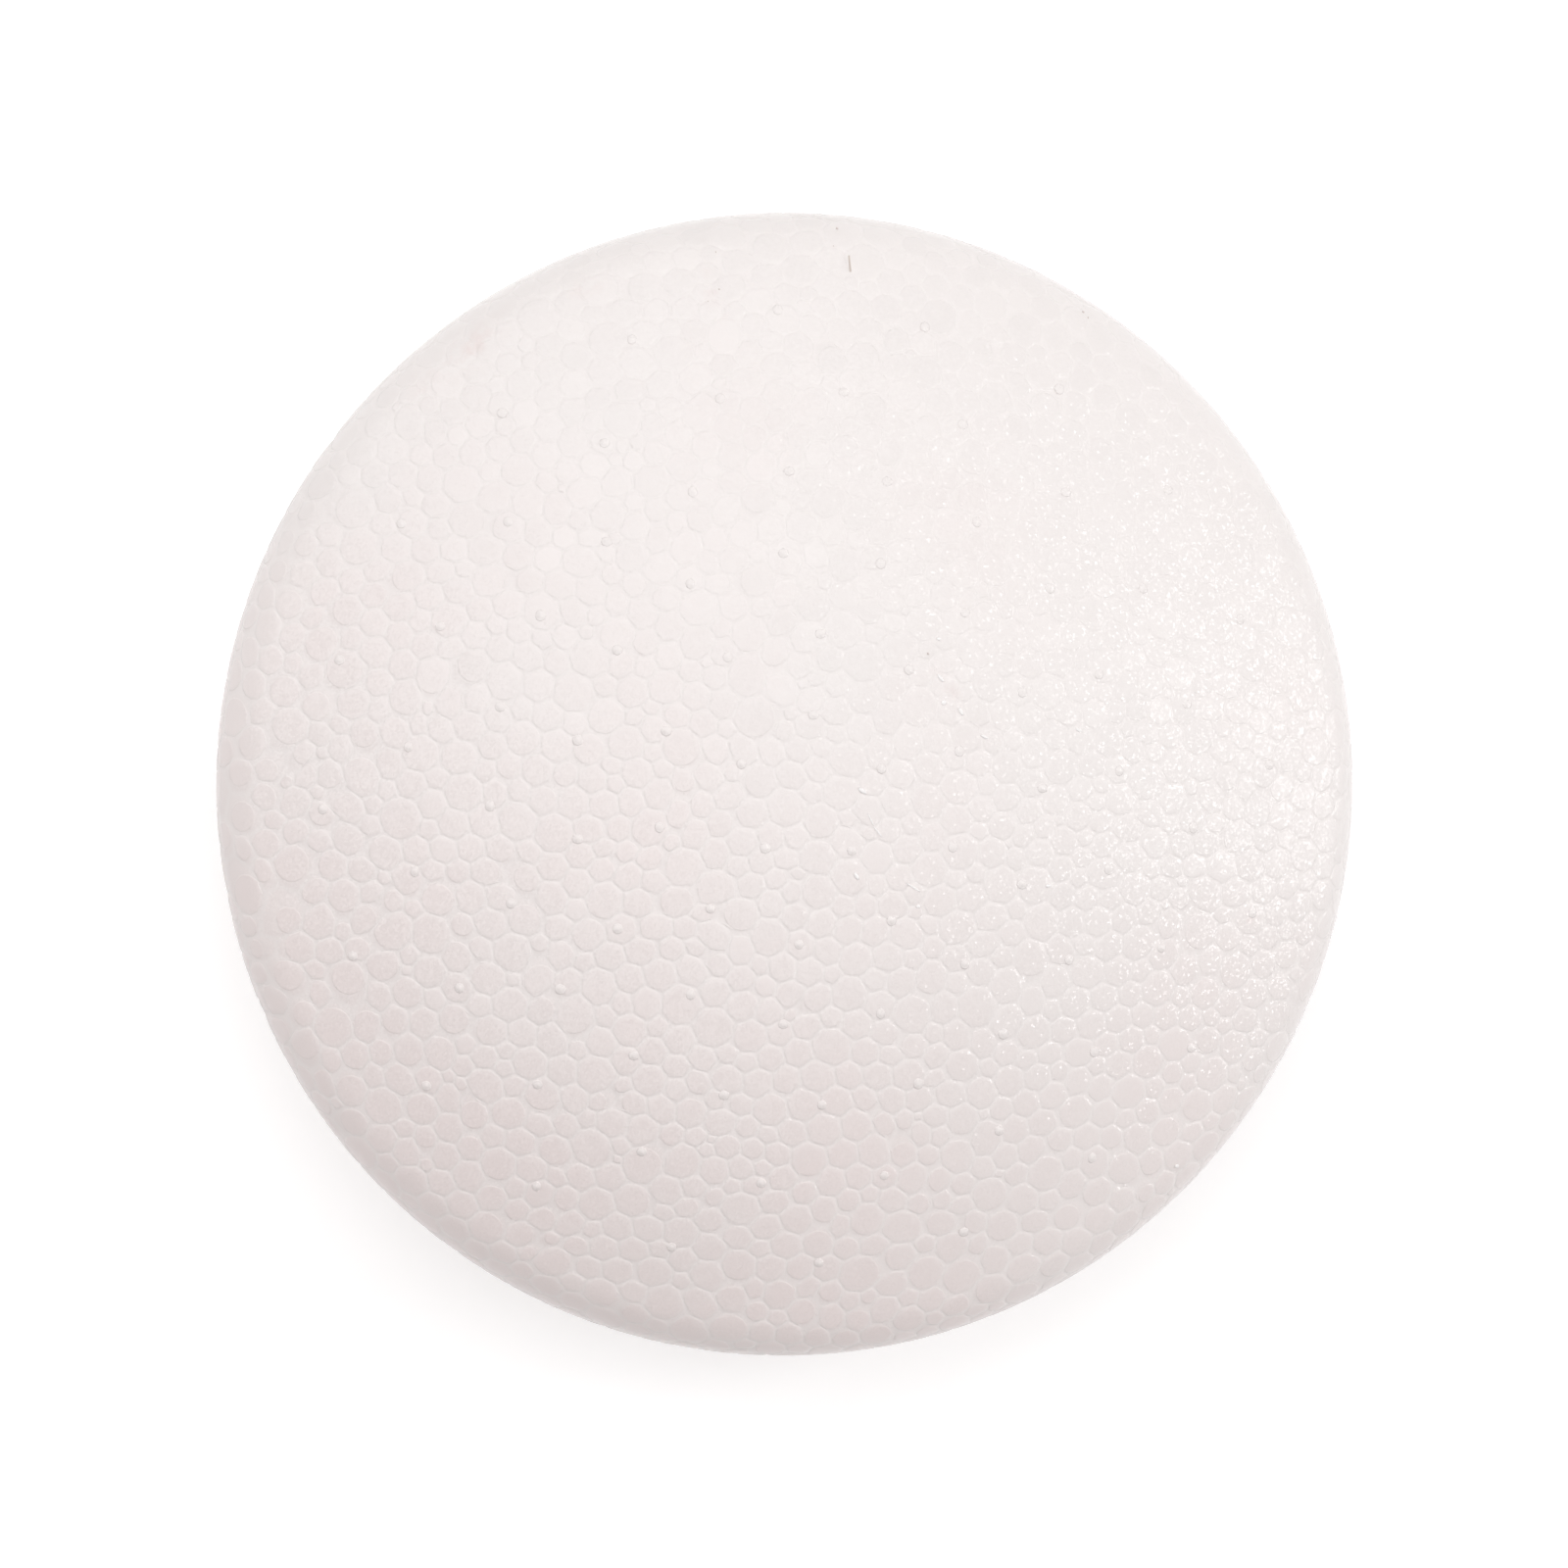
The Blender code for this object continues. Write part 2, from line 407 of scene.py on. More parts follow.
def bead_skin_tree():
    """One closed skin of beads from points on a sphere that hold each bead's true place and radius.

    It leaves from_seam, the distance from the nearest seam, outside, the distance past the bead's
    circle, and across, the distance from the bead's middle as a share of its radius.
    """
    inputs = {
        "Roundness": "NodeSocketFloat",
        "Seam Width": "NodeSocketFloat",
        "Material": "NodeSocketMaterial",
    }
    tree, given = new_tree("bead_skin", inputs)
    beads = given["Geometry"]
    here = add_node(tree, "GeometryNodeInputPosition")

    # Neighbours: the hull of points on a sphere links each bead to those that it touches
    shell = add_node(tree, "GeometryNodeConvexHull", {"Geometry": beads})
    nearest = add_node(
        tree, "GeometryNodeSampleNearest", {"Geometry": beads, "Sample Position": here}, domain="POINT"
    )
    own = {}
    for label, kind in (("place", "FLOAT_VECTOR"), ("radius", "FLOAT"), ("tone", "FLOAT")):
        own[label] = add_node(tree, "GeometryNodeInputNamedAttribute", {"Name": label}, data_type=kind)
        value = add_node(
            tree,
            "GeometryNodeSampleIndex",
            {"Geometry": beads, "Value": own[label], "Index": nearest},
            data_type=kind,
            domain="POINT",
        )
        shell = add_node(
            tree,
            "GeometryNodeStoreNamedAttribute",
            {"Geometry": shell, "Name": label, "Value": value},
            data_type=kind,
            domain="POINT",
        )

    # Seams: each corner lies between three beads, nearer to the smaller ones
    weight = add_node(tree, "ShaderNodeMath", {0: 1.0, 1: own["radius"]}, operation="DIVIDE")
    weighed = add_node(tree, "ShaderNodeVectorMath", {0: own["place"], "Scale": weight}, operation="SCALE")
    corner = add_node(
        tree, "GeometryNodeFieldOnDomain", {0: weighed}, domain="POINT", data_type="FLOAT_VECTOR"
    )
    mean = add_node(tree, "GeometryNodeFieldOnDomain", {0: weight}, domain="POINT", data_type="FLOAT")
    mean = add_node(tree, "ShaderNodeMath", {0: 1.0, 1: mean}, operation="DIVIDE")
    corner = add_node(tree, "ShaderNodeVectorMath", {0: corner, "Scale": mean}, operation="SCALE")
    shell = add_node(
        tree,
        "GeometryNodeStoreNamedAttribute",
        {"Geometry": shell, "Name": "corner", "Value": corner},
        data_type="FLOAT_VECTOR",
        domain="FACE",
    )
    shell = add_node(tree, "GeometryNodeDualMesh", {"Mesh": shell})
    corner = add_node(
        tree, "GeometryNodeInputNamedAttribute", {"Name": "corner"}, data_type="FLOAT_VECTOR"
    )
    shell = add_node(tree, "GeometryNodeSetPosition", {"Geometry": shell, "Position": corner})

    # Shoulders: an inner ring in each cell, part polygon and part circle, and not too near the middle
    least_share = 0.4
    shell = add_node(
        tree,
        "GeometryNodeExtrudeMesh",
        {"Mesh": shell, "Offset Scale": 0.0, "Individual": True},
        mode="FACES",
    )
    arm = add_node(tree, "ShaderNodeVectorMath", {0: here, 1: own["place"]}, operation="SUBTRACT")
    reach = add_node(tree, "ShaderNodeVectorMath", {0: arm}, operation="LENGTH").outputs["Value"]
    rounded = add_node(
        tree,
        "ShaderNodeMix",
        {"Factor": given["Roundness"], "A": reach, "B": own["radius"]},
        data_type="FLOAT",
    )
    ring = add_node(tree, "ShaderNodeMath", {0: rounded, 1: reach}, operation="MINIMUM")
    ring = add_node(tree, "ShaderNodeMath", {0: ring, 1: given["Seam Width"]}, operation="SUBTRACT")
    least = add_node(tree, "ShaderNodeMath", {0: reach, 1: least_share}, operation="MULTIPLY")
    ring = add_node(tree, "ShaderNodeMath", {0: ring, 1: least}, operation="MAXIMUM")
    from_seam = add_node(tree, "ShaderNodeMath", {0: reach, 1: ring}, operation="SUBTRACT")
    on_top = shell.outputs["Top"]
    from_seam = add_node(tree, "ShaderNodeMath", {0: from_seam, 1: on_top}, operation="MULTIPLY")
    shell = add_node(
        tree,
        "GeometryNodeStoreNamedAttribute",
        {"Geometry": shell, "Name": "from_seam", "Value": from_seam},
        data_type="FLOAT",
        domain="POINT",
    )
    share = add_node(tree, "ShaderNodeMath", {0: ring, 1: reach}, operation="DIVIDE")
    pulled = add_node(tree, "ShaderNodeVectorMath", {0: arm, "Scale": share}, operation="SCALE")
    pulled = add_node(tree, "ShaderNodeVectorMath", {0: own["place"], 1: pulled}, operation="ADD")
    shell = add_node(
        tree, "GeometryNodeSetPosition", {"Geometry": shell, "Selection": on_top, "Position": pulled}
    )
    # The seams stay sharp when the rest is rounded
    from_seam = add_node(tree, "GeometryNodeInputNamedAttribute", {"Name": "from_seam"}, data_type="FLOAT")
    crease = add_node(tree, "ShaderNodeMath", {0: from_seam, 1: 1e-6}, operation="LESS_THAN")
    shell = add_node(
        tree, "GeometryNodeSubdivisionSurface", {"Mesh": shell, "Level": 1, "Edge Crease": crease}
    )

    # Measures that the finish and the relief are worked out from
    arm = add_node(tree, "ShaderNodeVectorMath", {0: here, 1: own["place"]}, operation="SUBTRACT")
    arm = add_node(tree, "ShaderNodeVectorMath", {0: arm}, operation="LENGTH").outputs["Value"]
    for label, operation in (("outside", "SUBTRACT"), ("across", "DIVIDE")):
        value = add_node(tree, "ShaderNodeMath", {0: arm, 1: own["radius"]}, operation=operation)
        value = add_node(tree, "GeometryNodeFieldOnDomain", {0: value}, domain="CORNER", data_type="FLOAT")
        shell = add_node(
            tree,
            "GeometryNodeStoreNamedAttribute",
            {"Geometry": shell, "Name": label, "Value": value},
            data_type="FLOAT",
            domain="POINT",
        )
    close_tree(tree, shell, given["Material"])
    return tree


def stud_tree():
    """A low stud on each point, which holds its normal, its length direction and its size.

    Blend turns it from a half-sunk ball to a swelling that runs smoothly into the skin.
    """
    inputs = {
        "Segments": "NodeSocketInt",
        "Rings": "NodeSocketInt",
        "Blend": "NodeSocketFloat",
        "Crumple": "NodeSocketFloat",
        "Crumple Size": "NodeSocketFloat",
        "Material": "NodeSocketMaterial",
    }
    tree, given = new_tree("studs", inputs)
    own = {
        label: add_node(tree, "GeometryNodeInputNamedAttribute", {"Name": label}, data_type="FLOAT_VECTOR")
        for label in ("normal", "along", "size")
    }
    stud = add_node(
        tree,
        "GeometryNodeMeshUVSphere",
        {"Segments": given["Segments"], "Rings": given["Rings"], "Radius": 1.0},
    )
    here = add_node(tree, "GeometryNodeInputPosition")
    parts = add_node(tree, "ShaderNodeSeparateXYZ", {0: here}).outputs
    flat = add_node(tree, "ShaderNodeCombineXYZ", {"X": parts["X"], "Y": parts["Y"]})
    reach = add_node(tree, "ShaderNodeVectorMath", {0: flat}, operation="LENGTH").outputs["Value"]
    wave = add_node(tree, "ShaderNodeMath", {0: reach, 1: math.pi}, operation="MULTIPLY")
    wave = add_node(tree, "ShaderNodeMath", {0: wave}, operation="COSINE")
    swell = add_node(tree, "ShaderNodeMath", {0: wave, 1: 0.5, 2: 0.5}, operation="MULTIPLY_ADD")
    above = add_node(tree, "ShaderNodeMath", {0: parts["Z"], 1: 0.0}, operation="GREATER_THAN")
    above = add_node(tree, "ShaderNodeMath", {0: above, 1: given["Blend"]}, operation="MULTIPLY")
    height = add_node(tree, "ShaderNodeMix", {0: above, 2: parts["Z"], 3: swell}, data_type="FLOAT")
    lift = add_node(tree, "ShaderNodeCombineXYZ", {"Z": height})
    shaped = add_node(tree, "ShaderNodeVectorMath", {0: flat, 1: lift}, operation="ADD")
    stud = add_node(tree, "GeometryNodeSetPosition", {"Geometry": stud, "Position": shaped})
    turn = add_node(
        tree,
        "FunctionNodeAxesToRotation",
        {0: own["normal"], 1: own["along"]},
        primary_axis="Z",
        secondary_axis="X",
    )
    studs = add_node(
        tree,
        "GeometryNodeInstanceOnPoints",
        {"Points": given["Geometry"], "Instance": stud, "Rotation": turn, "Scale": own["size"]},
    )
    studs = add_node(tree, "GeometryNodeRealizeInstances", {"Geometry": studs})
    fineness = add_node(tree, "ShaderNodeMath", {0: 1.0, 1: given["Crumple Size"]}, operation="DIVIDE")
    noise = add_node(tree, "ShaderNodeTexNoise", {"Vector": here, "Scale": fineness, "Detail": 1.0})
    push = add_node(tree, "ShaderNodeMath", {0: noise, 1: 0.5}, operation="SUBTRACT")
    push = add_node(tree, "ShaderNodeMath", {0: push, 1: given["Crumple"]}, operation="MULTIPLY")
    outward = add_node(tree, "GeometryNodeInputNormal")
    push = add_node(tree, "ShaderNodeVectorMath", {0: outward, "Scale": push}, operation="SCALE")
    studs = add_node(tree, "GeometryNodeSetPosition", {"Geometry": studs, "Offset": push})
    studs = add_node(tree, "GeometryNodeSetShadeSmooth", {"Geometry": studs, "Shade Smooth": True})
    close_tree(tree, studs, given["Material"])
    return tree


def fibre_tree():
    """A round fibre along a chain of points, with closed ends."""
    tree, given = new_tree("fibre", {"Width": "NodeSocketFloat", "Material": "NodeSocketMaterial"})
    path = add_node(tree, "GeometryNodeMeshToCurve", {"Mesh": given["Geometry"]})
    path = add_node(tree, "GeometryNodeCurveSplineType", {"Curve": path}, spline_type="CATMULL_ROM")
    path = add_node(tree, "GeometryNodeResampleCurve", {"Curve": path, "Count": 16})
    half = add_node(tree, "ShaderNodeMath", {0: given["Width"], 1: 0.5}, operation="MULTIPLY")
    ring = add_node(tree, "GeometryNodeCurvePrimitiveCircle", {"Resolution": 8, "Radius": half})
    thread = add_node(
        tree, "GeometryNodeCurveToMesh", {"Curve": path, "Profile Curve": ring, "Fill Caps": True}
    )
    thread = add_node(tree, "GeometryNodeSetShadeSmooth", {"Geometry": thread, "Shade Smooth": True})
    close_tree(tree, thread, given["Material"])
    return tree


# Materials


def shader_tree(name):
    """A new material and its empty node tree."""
    material = bpy.data.materials.new(name)
    material.use_nodes = True
    material.node_tree.nodes.clear()
    return material, material.node_tree


def expanded_polystyrene(finish):
    """Expanded polystyrene, steam-moulded: matt white beads whose faces, pressed on the mould, are satin.

    The seams are rough and sunk, and are painted paler, with the pale reaching onto each bead's edge, as
    painted light for the bright lines that light grazing them gives. Crinkles in the thin film on each
    bead catch a low light as glitter. The real ones are under 0.1 mm across, and are drawn at 0.18 mm so
    that they show. A nub has no bead measures, so all of it looks like a seam and is painted as pale.
    """
    crinkle_size = 0.00018
    mottle_size = 0.0012
    drift_size = 0.02
    relief_depth = 0.000028
    # How far the seam's pale colour, which is painted light, reaches on each side of it
    painted_light_reach = 0.0004
    material, tree = shader_tree("expanded_polystyrene")
    place = add_node(tree, "ShaderNodeTexCoord").outputs["Object"]
    own = {
        label: add_node(tree, "ShaderNodeAttribute", attribute_name=label).outputs["Fac"]
        for label in ("from_seam", "outside", "tone", "stain")
    }
    groove = add_node(
        tree,
        "ShaderNodeMapRange",
        {
            "Value": own["from_seam"],
            "From Min": 0.00001,
            "From Max": 0.00012,
            "To Min": 1.0,
            "To Max": 0.0,
        },
        interpolation_type="SMOOTHSTEP",
    )
    pit = add_node(
        tree,
        "ShaderNodeMapRange",
        {"Value": own["outside"], "From Min": -0.00002, "From Max": 0.00014},
        interpolation_type="SMOOTHSTEP",
    )
    seam = add_node(tree, "ShaderNodeMath", {0: groove, 1: pit}, operation="MAXIMUM")

    # Crinkles: facets in the glossy film, which lean at random. The film is smoother on a few beads, and
    # smooth round the rim, where it was drawn tight. The foam under it leans less.
    foam_share = 0.18
    face = add_node(tree, "ShaderNodeMath", {0: 1.0, 1: seam}, operation="SUBTRACT")
    relief = add_node(tree, "ShaderNodeBump", {"Strength": 1.0, "Distance": relief_depth, "Height": face})
    facets = add_node(tree, "ShaderNodeTexVoronoi", {"Vector": place, "Scale": 1 / crinkle_size})
    lean = add_node(
        tree,
        "ShaderNodeVectorMath",
        {0: facets.outputs["Color"], 1: (0.5, 0.5, 0.5)},
        operation="SUBTRACT",
    )
    crinkled = add_node(
        tree,
        "ShaderNodeMapRange",
        {"Value": own["tone"], "From Min": 0.88, "From Max": 0.96, "To Min": 0.55, "To Max": 0.3},
    )
    upright = add_node(tree, "ShaderNodeNewGeometry").outputs["Normal"]
    upright = add_node(tree, "ShaderNodeSeparateXYZ", {0: upright}).outputs["Z"]
    upright = add_node(tree, "ShaderNodeMath", {0: upright}, operation="ABSOLUTE")
    loose = add_node(tree, "ShaderNodeMapRange", {"Value": upright, "From Min": 0.6, "From Max": 0.82})
    crinkled = add_node(tree, "ShaderNodeMath", {0: crinkled, 1: loose}, operation="MULTIPLY")
    film_lean = add_node(tree, "ShaderNodeVectorMath", {0: lean, "Scale": crinkled}, operation="SCALE")
    film = add_node(tree, "ShaderNodeVectorMath", {0: relief, 1: film_lean}, operation="ADD")
    film = add_node(tree, "ShaderNodeVectorMath", {0: film}, operation="NORMALIZE")
    foam_lean = add_node(
        tree, "ShaderNodeVectorMath", {0: film_lean, "Scale": foam_share}, operation="SCALE"
    )
    normal = add_node(tree, "ShaderNodeVectorMath", {0: relief, 1: foam_lean}, operation="ADD")
    normal = add_node(tree, "ShaderNodeVectorMath", {0: normal}, operation="NORMALIZE")

    # Colour: each bead's own tone, a pink tint that drifts at random and deepens towards the lower left of
    # the picture as painted shade, the seams painted paler as painted light, then the stains
    # Painted shade: this slope deepens the pink towards the lower left, where less light falls
    painted_shade_slope = (-4.5, -9.0, 0.0)
    painted_light_share = 0.3
    level = add_node(tree, "ShaderNodeMapRange", {"Value": own["tone"], "From Min": -1.0, "From Max": 1.0})
    pink_drift_and_painted_shade = add_node(tree, "ShaderNodeTexNoise", {"Vector": place, "Scale": 1 / drift_size, "Detail": 3.0})
    aside = add_node(
        tree, "ShaderNodeVectorMath", {0: place, 1: painted_shade_slope}, operation="DOT_PRODUCT"
    ).outputs["Value"]
    pink_drift_and_painted_shade = add_node(tree, "ShaderNodeMath", {0: pink_drift_and_painted_shade, 1: aside}, operation="ADD")
    pink_drift_and_painted_shade = add_node(tree, "ShaderNodeMapRange", {"Value": pink_drift_and_painted_shade, "From Min": 0.25, "From Max": 1.0})
    painted_edge_light = add_node(
        tree,
        "ShaderNodeMapRange",
        {"Value": own["from_seam"], "From Max": painted_light_reach, "To Min": 1.0, "To Max": 0.0},
        interpolation_type="SMOOTHERSTEP",
    )
    # Painted light: the seams, and a band beside them, are drawn paler than the bead faces
    painted_seam_light = add_node(tree, "ShaderNodeMath", {0: seam, 1: painted_light_share}, operation="MULTIPLY")
    painted_seam_light = add_node(
        tree, "ShaderNodeMath", {0: painted_edge_light, 1: painted_light_share, 2: painted_seam_light}, operation="MULTIPLY_ADD"
    )
    mottle = add_node(
        tree, "ShaderNodeTexNoise", {"Vector": place, "Scale": 1 / mottle_size, "Detail": 3.0}
    )
    mottle = add_node(tree, "ShaderNodeMapRange", {"Value": mottle, "From Min": 0.38, "From Max": 0.62})
    stained = add_node(tree, "ShaderNodeMath", {0: own["stain"], 1: mottle}, operation="MULTIPLY")
    colour = finish.deep[:]
    tints = ((level, finish.light), (pink_drift_and_painted_shade, finish.cast), (painted_seam_light, finish.seam), (stained, finish.stain))
    for share, tint in tints:
        colour = add_node(
            tree, "ShaderNodeMix", {0: share, 6: colour, 7: tint[:]}, data_type="RGBA"
        ).outputs[2]

    # Gloss: satin faces, each a little different, and rough seams. The film lies over both as a thin coat.
    satin = add_node(
        tree,
        "ShaderNodeMapRange",
        {"Value": own["tone"], "From Min": -1.0, "From Max": 1.0, "To Min": 0.5, "To Max": 0.44},
    )
    seam_roughness = 0.7
    rough = add_node(tree, "ShaderNodeMix", {0: seam, 2: satin, 3: seam_roughness}, data_type="FLOAT")
    shader = add_node(
        tree,
        "ShaderNodeBsdfPrincipled",
        {
            "Base Color": colour,
            "Roughness": rough,
            "Normal": normal,
            "IOR": 1.5,
            "Coat Weight": 0.7,
            "Coat Roughness": 0.13,
            "Coat Normal": film,
        },
    )
    add_node(tree, "ShaderNodeOutputMaterial", {"Surface": shader})
    return material


def polystyrene_film(finish):
    """Polystyrene film: skin torn from a bead and folded, so it is smooth and glints. Its near-white
    colour is partly painted highlight.
    """
    material, tree = shader_tree("polystyrene_film")
    place = add_node(tree, "ShaderNodeTexCoord").outputs["Object"]
    crumple_size = 0.00025
    noise = add_node(
        tree, "ShaderNodeTexNoise", {"Vector": place, "Scale": 1 / crumple_size, "Detail": 1.0}
    )
    rough = add_node(tree, "ShaderNodeMapRange", {"Value": noise, "To Min": 0.15, "To Max": 0.45})
    bump = add_node(tree, "ShaderNodeBump", {"Strength": 0.5, "Distance": 0.00002, "Height": noise})
    shader = add_node(
        tree,
        "ShaderNodeBsdfPrincipled",
        {"Base Color": finish.film[:], "Roughness": rough, "Normal": bump, "IOR": 1.59},
    )
    add_node(tree, "ShaderNodeOutputMaterial", {"Surface": shader})
    return material


def quartz_grit(finish):
    """Quartz grit: crushed grains, pale brown with dust, whose broken faces give small dull highlights."""
    material, tree = shader_tree("quartz_grit")
    place = add_node(tree, "ShaderNodeTexCoord").outputs["Object"]
    grain_size = 0.0001
    noise = add_node(tree, "ShaderNodeTexNoise", {"Vector": place, "Scale": 1 / grain_size, "Detail": 2.0})
    rough = add_node(tree, "ShaderNodeMapRange", {"Value": noise, "To Min": 0.45, "To Max": 0.8})
    bump = add_node(tree, "ShaderNodeBump", {"Strength": 0.6, "Distance": 0.00002, "Height": noise})
    shader = add_node(
        tree,
        "ShaderNodeBsdfPrincipled",
        {"Base Color": finish.grit[:], "Roughness": rough, "Normal": bump, "IOR": 1.54},
    )
    add_node(tree, "ShaderNodeOutputMaterial", {"Surface": shader})
    return material


def dyed_cotton(finish):
    """Dyed cotton: a single fibre of a faded brown, matt and a little uneven."""
    material, tree = shader_tree("dyed_cotton_fibre")
    place = add_node(tree, "ShaderNodeTexCoord").outputs["Object"]
    twist_size = 0.00015
    noise = add_node(tree, "ShaderNodeTexNoise", {"Vector": place, "Scale": 1 / twist_size, "Detail": 2.0})
    bump = add_node(tree, "ShaderNodeBump", {"Strength": 0.4, "Distance": 0.00002, "Height": noise})
    shader = add_node(
        tree,
        "ShaderNodeBsdfPrincipled",
        {"Base Color": finish.fibre[:], "Roughness": 0.75, "Normal": bump, "IOR": 1.5},
    )
    add_node(tree, "ShaderNodeOutputMaterial", {"Surface": shader})
    return material


# Operators


def read_values(items, key, width):
    """Values of one property of many mesh items, a row of them for each item."""
    values = np.empty(len(items) * width, np.float32)
    items.foreach_get(key, values)
    return values.reshape(-1, width).astype(float)


def stain_strength(points):
    """How stained each point is, 0 to 1, from the blots that the photograph shows."""
    strength = np.zeros(len(points))
    for column, row, half_length, half_width, angle, most in STAINS:
        middle, _ = seen_at(column, row)
        turn = math.radians(angle)
        offset = points - np.array(middle)
        along = offset[:, 0] * math.cos(turn) + offset[:, 1] * math.sin(turn)
        aside = offset[:, 1] * math.cos(turn) - offset[:, 0] * math.sin(turn)
        fall = (along / photo_length(half_length)) ** 2 + (aside / photo_length(half_width)) ** 2
        on_top = points[:, 2] > MIDDLE_HEIGHT
        strength = np.maximum(strength, np.where(on_top, most * np.exp(-fall), 0))
    return strength


def marks_mesh(name, marks):
    """Points for the stud tree on the upper dome, where the photograph shows marks.

    A mark is its column and row, its bearing in radians, and its half sizes in pixels.
    """
    places, normals, along, size = [], [], [], []
    for column, row, bearing, half_sizes in marks:
        place, normal = seen_at(column, row)
        places.append(place)
        normals.append(normal)
        along.append(direction(0, bearing))
        size.append([photo_length(pixels) for pixels in half_sizes])
    return points_mesh(name, places, normal=normals, along=along, size=size)


class FOAM_OT_bead_skin(bpy.types.Operator):
    """Cover the medallion with its skin of fused beads"""

    bl_idname = "foam.bead_skin"
    bl_label = "Bead Skin"

    def execute(self, context):
        beads = context.scene.foam_beads
        places, radii, tones = pack_beads(beads)
        seeds = points_mesh("bead_centres", onto_sphere(places), place=places, radius=radii, tone=tones)
        values = {
            "Roundness": beads.roundness,
            "Seam Width": beads.seam_width,
            "Material": expanded_polystyrene(context.scene.foam_finish),
        }
        skin = grown("bead_skin", seeds, bead_skin_tree(), values)
        mesh = skin.data
        measures = {
            label: read_values(mesh.attributes[label].data, "value", 1)[:, 0]
            for label in ("from_seam", "outside", "across")
        }
        skin_points, normals = onto_lens(read_values(mesh.vertices, "co", 3))
        near_seam = np.clip(1 - measures["from_seam"] / beads.seam_width, 0, 1)
        in_pit = np.clip(0.5 + measures["outside"] / (2 * beads.seam_width), 0, 1)
        sunk = beads.inset + beads.bulge * measures["across"] ** 2
        sunk += beads.seam_depth * near_seam + beads.pit_depth * in_pit * near_seam
        skin_points += np.array([0, 0, MIDDLE_HEIGHT]) - normals * sunk[:, None]
        mesh.vertices.foreach_set("co", skin_points.ravel())
        stain = mesh.attributes.new("stain", "FLOAT", "POINT")
        stain.data.foreach_set("value", stain_strength(skin_points))
        # No material reads these
        for label in ("place", "radius", "corner", "across"):
            mesh.attributes.remove(mesh.attributes[label])
        mesh.shade_smooth()
        mesh.update()
        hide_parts(BODY)
        return {"FINISHED"}


class FOAM_OT_vent_nubs(bpy.types.Operator):
    """Set rings of vent nubs on both faces"""

    bl_idname = "foam.vent_nubs"
    bl_label = "Vent Nubs"

    def execute(self, context):
        nubs = context.scene.foam_nubs
        rng = np.random.default_rng(nubs.seed)
        rings = []
        distance = DISC_RADIUS - nubs.rim_inset
        while distance > nubs.ring_spacing / 2:
            count = min(nubs.most, round(math.tau * distance / nubs.pitch))
            phase = math.radians(RING_PHASES_DEG[len(rings) % len(RING_PHASES_DEG)])
            bearing = phase + math.tau * np.arange(count) / count
            height = np.full(count, float(lens_height(np.array(distance))))
            rings.append(np.column_stack((distance * np.cos(bearing), distance * np.sin(bearing), height)))
            distance -= nubs.ring_spacing
        upper = np.vstack(rings)
        places, normals = onto_lens(np.vstack((upper, upper * np.array([1, 1, -1]))))
        places += np.array([0, 0, MIDDLE_HEIGHT]) - normals * context.scene.foam_beads.inset
        # The foot's radius: it fades into the skin, so it is a little wider than the nub that shows
        foot = 0.62 * nubs.diameter
        least_shares, most_shares = (0.85, 0.85, 0.62), (1.05, 1.05, 0.95)
        size = np.array([foot, foot, nubs.height])
        size = size * rng.uniform(least_shares, most_shares, (len(places), 3))
        along = np.column_stack((normals[:, 2], np.zeros(len(places)), -normals[:, 0]))
        seeds = points_mesh("vent_places", places, normal=normals, along=along, size=size)
        # The nubs are of the bead skin's own material, so the skin is made first
        values = {
            "Segments": 8,
            "Rings": 7,
            "Blend": 1.0,
            "Crumple": 0.04 * nubs.diameter,
            "Crumple Size": nubs.diameter,
            "Material": bpy.data.materials["expanded_polystyrene"],
        }
        grown("vent_nubs", seeds, stud_tree(), values)
        return {"FINISHED"}


class FOAM_OT_torn_skin(bpy.types.Operator):
    """Lift small torn slivers of skin where the photograph shows them"""

    bl_idname = "foam.torn_skin"
    bl_label = "Torn Skin"

    def execute(self, context):
        # A sliver stands out of the skin by a quarter of its width
        slivers = [
            (column, row, math.radians(angle), (length / 2, width / 2, width / 4))
            for column, row, length, width, angle in SLIVERS
        ]
        seeds = marks_mesh("sliver_places", slivers)
        values = {
            "Segments": 10,
            "Rings": 6,
            "Blend": 0.0,
            "Crumple": 0.00003,
            "Crumple Size": 0.0004,
            "Material": polystyrene_film(context.scene.foam_finish),
        }
        grown("torn_skin", seeds, stud_tree(), values)
        return {"FINISHED"}


class FOAM_OT_dirt(bpy.types.Operator):
    """Press the grit and the stray fibre into the skin"""

    bl_idname = "foam.dirt"
    bl_label = "Dirt"

    def execute(self, context):
        finish = context.scene.foam_finish
        # A grain is longer than wide and half buried. Its column number stands for a random bearing.
        across_share, height_share = 0.75, 0.4
        grains = [
            (column, row, column, np.array([1, across_share, height_share]) * width / 2)
            for column, row, width in GRIT
        ]
        seeds = marks_mesh("grit_places", grains)
        values = {
            "Segments": 8,
            "Rings": 5,
            "Blend": 0.0,
            "Crumple": 0.00012,
            "Crumple Size": 0.00015,
            "Material": quartz_grit(finish),
        }
        grown("grit", seeds, stud_tree(), values)

        path = [seen_at(column, row)[0] for column, row in FIBRE]
        chain = points_mesh("fibre_path", path, edges=[(i, i + 1) for i in range(len(path) - 1)])
        values = {"Width": photo_length(FIBRE_WIDTH), "Material": dyed_cotton(finish)}
        grown("stray_fibre", chain, fibre_tree(), values)
        return {"FINISHED"}


